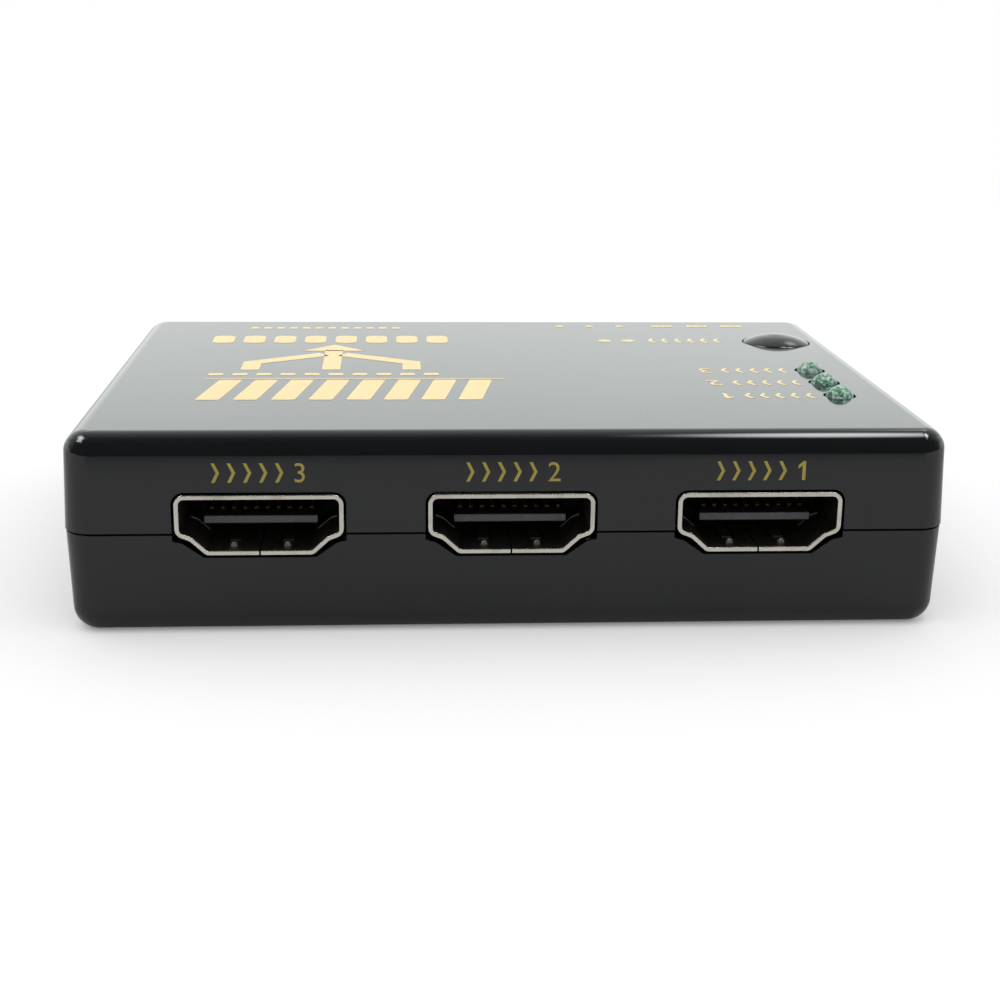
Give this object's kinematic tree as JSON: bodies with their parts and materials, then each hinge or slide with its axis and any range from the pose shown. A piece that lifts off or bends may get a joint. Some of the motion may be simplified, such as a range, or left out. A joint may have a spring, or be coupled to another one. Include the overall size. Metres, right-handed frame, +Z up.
{
  "type": "video switch box",
  "caption": "Small black two-part box that passes one of several video sources to a display, with sockets front and back, indicator lamps and a domed push button on top.",
  "frame": {"origin": "middle of the base, on the surface that the box stands on", "axes": "+X along the front, to the right as seen from in front; +Y from the front, where the sources plug in, to the back; +Z up"},
  "size_m": [0.08, 0.06, 0.0196],
  "materials": {
    "case_plastic": "black moulded case, polished",
    "socket_nickel": "nickel-plated stamped sheet",
    "insert_plastic": "black glass-filled moulding",
    "contact_gold": "gold-flashed copper alloy",
    "lamp_resin": "green tinted clear resin",
    "tinned_lead": "tinned",
    "board_laminate": "green solder mask over glass laminate",
    "screw_steel": "dark zinc-plated steel",
    "plated_steel": "bright nickel plate",
    "plunger_plastic": "black moulded plunger",
    "chip_epoxy": "black moulded epoxy",
    "can_aluminium": "bare drawn can",
    "capacitor_ceramic": "tan ceramic"
  },
  "bodies": {
    "case": {"capacitor_bases": "insert_plastic", "capacitor_cans": "can_aluminium", "case_screws": "screw_steel", "chip_capacitors": "capacitor_ceramic", "chip_resistors": "chip_epoxy", "circuit_board": "board_laminate", "controller": "chip_epoxy", "controller_leads": "tinned_lead", "crystal_can": "plated_steel", "input_1_contacts": "contact_gold", "input_1_insert": "insert_plastic", "input_1_shell": "socket_nickel", "input_2_contacts": "contact_gold", "input_2_insert": "insert_plastic", "input_2_shell": "socket_nickel", "input_3_contacts": "contact_gold", "input_3_insert": "insert_plastic", "input_3_shell": "socket_nickel", "lamp_1": "lamp_resin", "lamp_2": "lamp_resin", "lamp_3": "lamp_resin", "lamp_leads": "tinned_lead", "line_protectors": "chip_epoxy", "lower_shell": "case_plastic", "output_contacts": "contact_gold", "output_insert": "insert_plastic", "output_shell": "socket_nickel", "power_jack_body": "insert_plastic", "power_jack_pin": "plated_steel", "power_jack_tails": "tinned_lead", "regulator": "chip_epoxy", "regulator_leads": "tinned_lead", "remote_jack_body": "insert_plastic", "remote_jack_ferrule": "plated_steel", "remote_jack_tails": "tinned_lead", "snap_disc": "plated_steel", "switch_base": "insert_plastic", "switch_chip": "chip_epoxy", "switch_chip_leads": "tinned_lead", "switch_cover": "plated_steel", "switch_leads": "tinned_lead", "upper_shell": "case_plastic"},
    "button": {"select_button": "case_plastic"},
    "plunger": {"switch_plunger": "plunger_plastic"}
  },
  "joints": [
    {"name": "button_press", "type": "slide", "parent": "case", "child": "button", "axis": [0, 0, -1], "range_m": [0, 0.0003], "stiffness_N_per_m": 2000, "springref_m": -0.0002},
    {"name": "plunger_press", "type": "slide", "parent": "case", "child": "plunger", "axis": [0, 0, -1], "range_m": [0, 0.0003], "deforming": ["snap_disc"]}
  ],
  "couplings": [
    {"joint": "plunger_press", "follows": "button_press", "ratio": 1}
  ]
}
